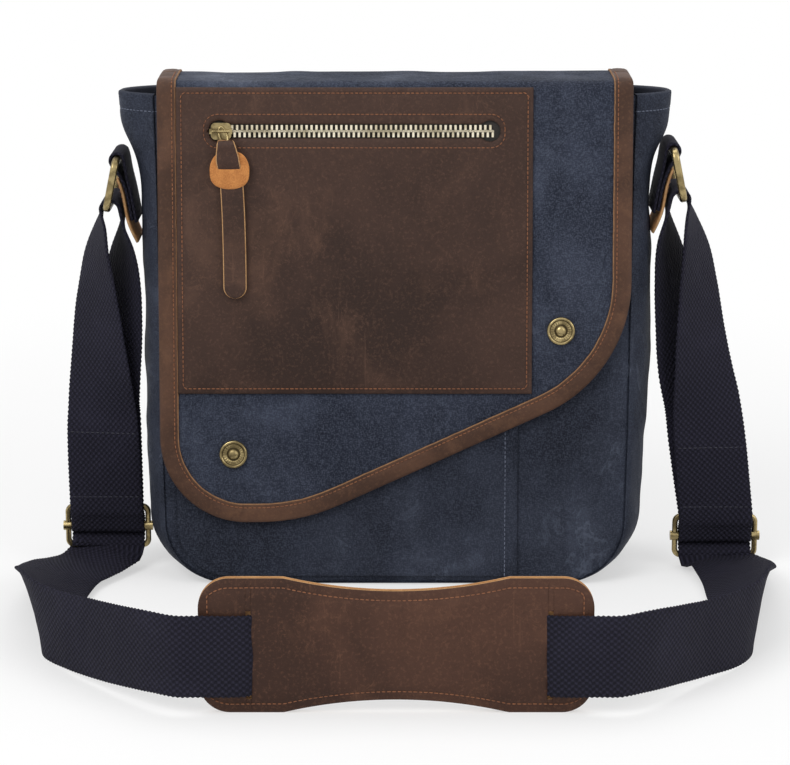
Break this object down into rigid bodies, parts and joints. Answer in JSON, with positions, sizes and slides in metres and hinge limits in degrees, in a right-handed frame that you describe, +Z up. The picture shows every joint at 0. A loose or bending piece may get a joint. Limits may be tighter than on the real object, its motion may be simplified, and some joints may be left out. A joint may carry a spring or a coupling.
{
  "type": "messenger bag",
  "caption": "Canvas messenger bag with a slanted leather-bound flap, zipped leather pocket panel, snap fasteners and an adjustable webbing strap with a leather shoulder pad.",
  "frame": {"origin": "on the floor under the middle of the bag's flat base", "axes": "+X along the bag's width, to the right as its flap is faced; -Y towards the flap side; +Z up"},
  "size_m": [0.3844, 0.2902, 0.2589],
  "materials": {
    "canvas": "waxed, mottled",
    "lining": "plain weave",
    "board": "matte",
    "binding": "oiled pull-up",
    "leather": "oiled pull-up, scuffed",
    "suede": "flesh side",
    "foam": "foam",
    "zip_tape": "woven tape",
    "zip_teeth": "pale gold",
    "brass": "antique",
    "webbing": "coarse basket weave"
  },
  "bodies": {
    "bag": {"front_panel": "canvas", "back_panel": "canvas", "gusset_left": "canvas", "gusset_right": "canvas", "gusset_base": "canvas", "base_board": "board", "lining_front": "lining", "lining_back": "lining", "lining_left": "lining", "lining_right": "lining", "lining_base": "lining", "inner_pocket": "lining", "front_pocket": "canvas", "flap_anchor": "canvas", "snap_stud_left": "brass", "snap_stud_right": "brass", "snap_washer": "binding", "tab_webbing_left": "webbing", "tab_webbing_right": "webbing", "tab_leather_left": "leather", "tab_leather_right": "leather", "strap_loop_left": "webbing", "strap_loop_right": "webbing"},
    "flap_top": {"flap_top": "canvas", "top_binding_left": "binding", "top_binding_right": "binding"},
    "flap_front": {"flap_canvas": "canvas", "flap_lining": "lining", "flap_binding": "binding", "flap_leather": "leather", "zip_tape_upper": "zip_tape", "zip_tape_lower": "zip_tape", "zip_teeth_upper": "zip_teeth", "zip_teeth_lower": "zip_teeth", "snap_cap_left": "brass", "snap_cap_right": "brass", "snap_socket_left": "brass", "snap_socket_right": "brass"},
    "zip_slider": {"zip_slider": "brass"},
    "zip_pull": {"zip_pull_tail": "leather", "zip_pull_tongue": "suede"},
    "ring_left": {"ring_left": "brass"},
    "ring_right": {"ring_right": "brass"},
    "strap_front": {"strap_left": "webbing", "strap_right": "webbing", "strap_mid": "webbing", "strap_end_left": "webbing", "strap_end_right": "webbing", "adjuster_frame_left": "brass", "adjuster_frame_right": "brass", "adjuster_bar_left": "brass", "adjuster_bar_right": "brass"},
    "shoulder_pad": {"pad_front": "leather", "pad_core": "foam", "pad_back": "leather"}
  },
  "joints": [
    {"name": "flap_hinge", "type": "hinge", "parent": "bag", "child": "flap_top", "pos_m": [0, 0.0226, 0.258], "axis": [-1, 0, 0], "range_deg": [0, 170]},
    {"name": "flap_fold", "type": "hinge", "parent": "flap_top", "child": "flap_front", "pos_m": [0, -0.02553, 0.258], "axis": [-1, 0, 0], "range_deg": [0, 120]},
    {"name": "zip_slide", "type": "slide", "parent": "flap_front", "child": "zip_slider", "axis": [1, 0, 0], "range_m": [0, 0.128]},
    {"name": "pull_lift", "type": "hinge", "parent": "zip_slider", "child": "zip_pull", "pos_m": [-0.0875, -0.03446, 0.23405], "axis": [-1, 0, 0], "range_deg": [0, 110]},
    {"name": "ring_swing_left", "type": "hinge", "parent": "bag", "child": "ring_left", "pos_m": [-0.142, 0, 0.2165], "axis": [0, -1, 0], "range_deg": [0, 5]},
    {"name": "ring_swing_right", "type": "hinge", "parent": "bag", "child": "ring_right", "pos_m": [0.142, 0, 0.2215], "axis": [0, 1, 0], "range_deg": [0, 5]},
    {"name": "strap_lift", "type": "hinge", "parent": "bag", "child": "strap_front", "pos_m": [0, -0.0228, 0.088], "axis": [-1, 0, 0], "range_deg": [0, 75]},
    {"name": "pad_slide", "type": "slide", "parent": "strap_front", "child": "shoulder_pad", "axis": [1, 0, 0], "range_m": [-0.008, 0.008]}
  ]
}
